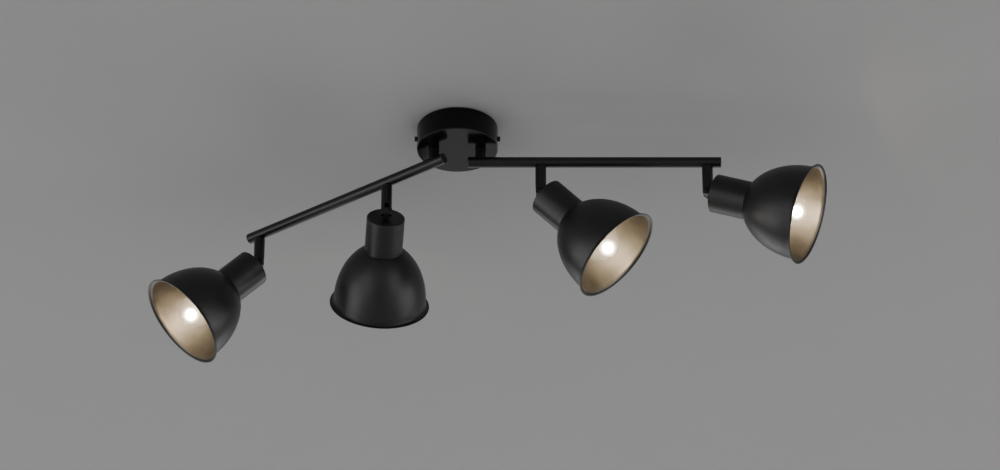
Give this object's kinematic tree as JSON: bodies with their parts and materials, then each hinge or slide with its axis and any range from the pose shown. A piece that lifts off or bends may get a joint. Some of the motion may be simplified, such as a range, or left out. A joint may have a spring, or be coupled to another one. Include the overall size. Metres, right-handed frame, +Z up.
{
  "type": "ceiling spot light bar",
  "caption": "Black ceiling spot bar: round canopy, two swivelling tube arms, and bell shades with silvered insides on tilting knuckle stems.",
  "frame": {"origin": "centre of the canopy, on the ceiling plane", "axes": "+Z up into the ceiling, +X along the line of the two posts and along the straight right-hand arm, -Y towards the viewer"},
  "size_m": [0.8405, 0.3035, 0.2289],
  "materials": {
    "gloss_black_canopy": "gloss black lacquer on pressed steel",
    "satin_black_tube": "satin black powder coat on steel tube",
    "black_cup": "satin black powder coat on a drawn steel cup",
    "black_shade": "matte black outside, warm brushed silver lacquer inside",
    "black_screws": "blackened knurled steel",
    "black_plastic": "fine moulded texture",
    "zinc_steel": "bright zinc plate",
    "brass": "plain",
    "nickel_cap": "nickel-plated",
    "white_plastic": "moulded, slightly glossy",
    "wire_insulation": "silicone sleeve",
    "frosted_glass": "lightly frosted, lit warm white"
  },
  "bodies": {
    "canopy": {"canopy_cover": "gloss_black_canopy", "mounting_bracket": "zinc_steel", "canopy_side_screws": "black_screws", "terminal_block": "white_plastic", "terminal_clamps": "brass", "terminal_screws": "zinc_steel", "earth_screw": "zinc_steel", "canopy_wiring": "wire_insulation"},
    "left_arm": {"left_arm_tube": "satin_black_tube", "left_arm_end_plugs": "black_plastic", "left_arm_post": "satin_black_tube", "left_post_nut": "zinc_steel", "left_saddle_washers": "zinc_steel", "left_arm_wiring": "wire_insulation"},
    "right_arm": {"right_arm_tube": "satin_black_tube", "right_arm_end_plugs": "black_plastic", "right_arm_post": "satin_black_tube", "right_post_nut": "zinc_steel", "right_saddle_washers": "zinc_steel", "right_arm_wiring": "wire_insulation"},
    "left_outer_knuckle": {"left_outer_stem": "satin_black_tube", "left_outer_stem_nut": "zinc_steel", "left_outer_pivot_screw": "black_screws"},
    "left_outer_head": {"left_outer_hinge_tab": "satin_black_tube", "left_outer_cup": "black_cup", "left_outer_lampholder": "white_plastic", "left_outer_shade": "black_shade", "left_outer_shade_ring": "black_plastic", "left_outer_bulb_glass": "frosted_glass", "left_outer_bulb_cap": "nickel_cap"},
    "left_inner_knuckle": {"left_inner_stem": "satin_black_tube", "left_inner_stem_nut": "zinc_steel", "left_inner_pivot_screw": "black_screws"},
    "left_inner_head": {"left_inner_hinge_tab": "satin_black_tube", "left_inner_cup": "black_cup", "left_inner_lampholder": "white_plastic", "left_inner_shade": "black_shade", "left_inner_shade_ring": "black_plastic", "left_inner_bulb_glass": "frosted_glass", "left_inner_bulb_cap": "nickel_cap"},
    "right_inner_knuckle": {"right_inner_stem": "satin_black_tube", "right_inner_stem_nut": "zinc_steel", "right_inner_pivot_screw": "black_screws"},
    "right_inner_head": {"right_inner_hinge_tab": "satin_black_tube", "right_inner_cup": "black_cup", "right_inner_lampholder": "white_plastic", "right_inner_shade": "black_shade", "right_inner_shade_ring": "black_plastic", "right_inner_bulb_glass": "frosted_glass", "right_inner_bulb_cap": "nickel_cap"},
    "right_outer_knuckle": {"right_outer_stem": "satin_black_tube", "right_outer_stem_nut": "zinc_steel", "right_outer_pivot_screw": "black_screws"},
    "right_outer_head": {"right_outer_hinge_tab": "satin_black_tube", "right_outer_cup": "black_cup", "right_outer_lampholder": "white_plastic", "right_outer_shade": "black_shade", "right_outer_shade_ring": "black_plastic", "right_outer_bulb_glass": "frosted_glass", "right_outer_bulb_cap": "nickel_cap"}
  },
  "joints": [
    {"name": "left_arm_swivel", "type": "hinge", "parent": "canopy", "child": "left_arm", "pos_m": [-0.0287, 0, -0.0483], "axis": [0, 0, 1], "range_deg": [-52.8, 127.2]},
    {"name": "right_arm_swivel", "type": "hinge", "parent": "canopy", "child": "right_arm", "pos_m": [0.0287, 0, -0.0483], "axis": [0, 0, 1], "range_deg": [-90, 90]},
    {"name": "left_outer_swivel", "type": "hinge", "parent": "left_arm", "child": "left_outer_knuckle", "pos_m": [-0.25077, 0.16856, -0.0909], "axis": [0, 0, 1], "range_deg": [-150, 110]},
    {"name": "left_outer_tilt", "type": "hinge", "parent": "left_outer_knuckle", "child": "left_outer_head", "pos_m": [-0.25077, 0.16856, -0.0909], "axis": [0.1513, -0.9885, 0], "range_deg": [-45, 65]},
    {"name": "left_inner_swivel", "type": "hinge", "parent": "left_arm", "child": "left_inner_knuckle", "pos_m": [-0.08764, 0.04474, -0.0909], "axis": [0, 0, -1], "range_deg": [-165, 165]},
    {"name": "left_inner_tilt", "type": "hinge", "parent": "left_inner_knuckle", "child": "left_inner_head", "pos_m": [-0.08764, 0.04474, -0.0909], "axis": [-0.9959, -0.0906, 0], "range_deg": [-30.1, 149.9]},
    {"name": "right_inner_swivel", "type": "hinge", "parent": "right_arm", "child": "right_inner_knuckle", "pos_m": [0.1027, 0, -0.0909], "axis": [0, 0, -1], "range_deg": [-165, 165]},
    {"name": "right_inner_tilt", "type": "hinge", "parent": "right_inner_knuckle", "child": "right_inner_head", "pos_m": [0.1027, 0, -0.0909], "axis": [0.0663, 0.9978, 0], "range_deg": [-31, 120]},
    {"name": "right_outer_swivel", "type": "hinge", "parent": "right_arm", "child": "right_outer_knuckle", "pos_m": [0.3075, 0, -0.0909], "axis": [0, 0, 1], "range_deg": [-100, 130]},
    {"name": "right_outer_tilt", "type": "hinge", "parent": "right_outer_knuckle", "child": "right_outer_head", "pos_m": [0.3075, 0, -0.0909], "axis": [0.2147, 0.9767, 0], "range_deg": [-21.8, 80]}
  ]
}
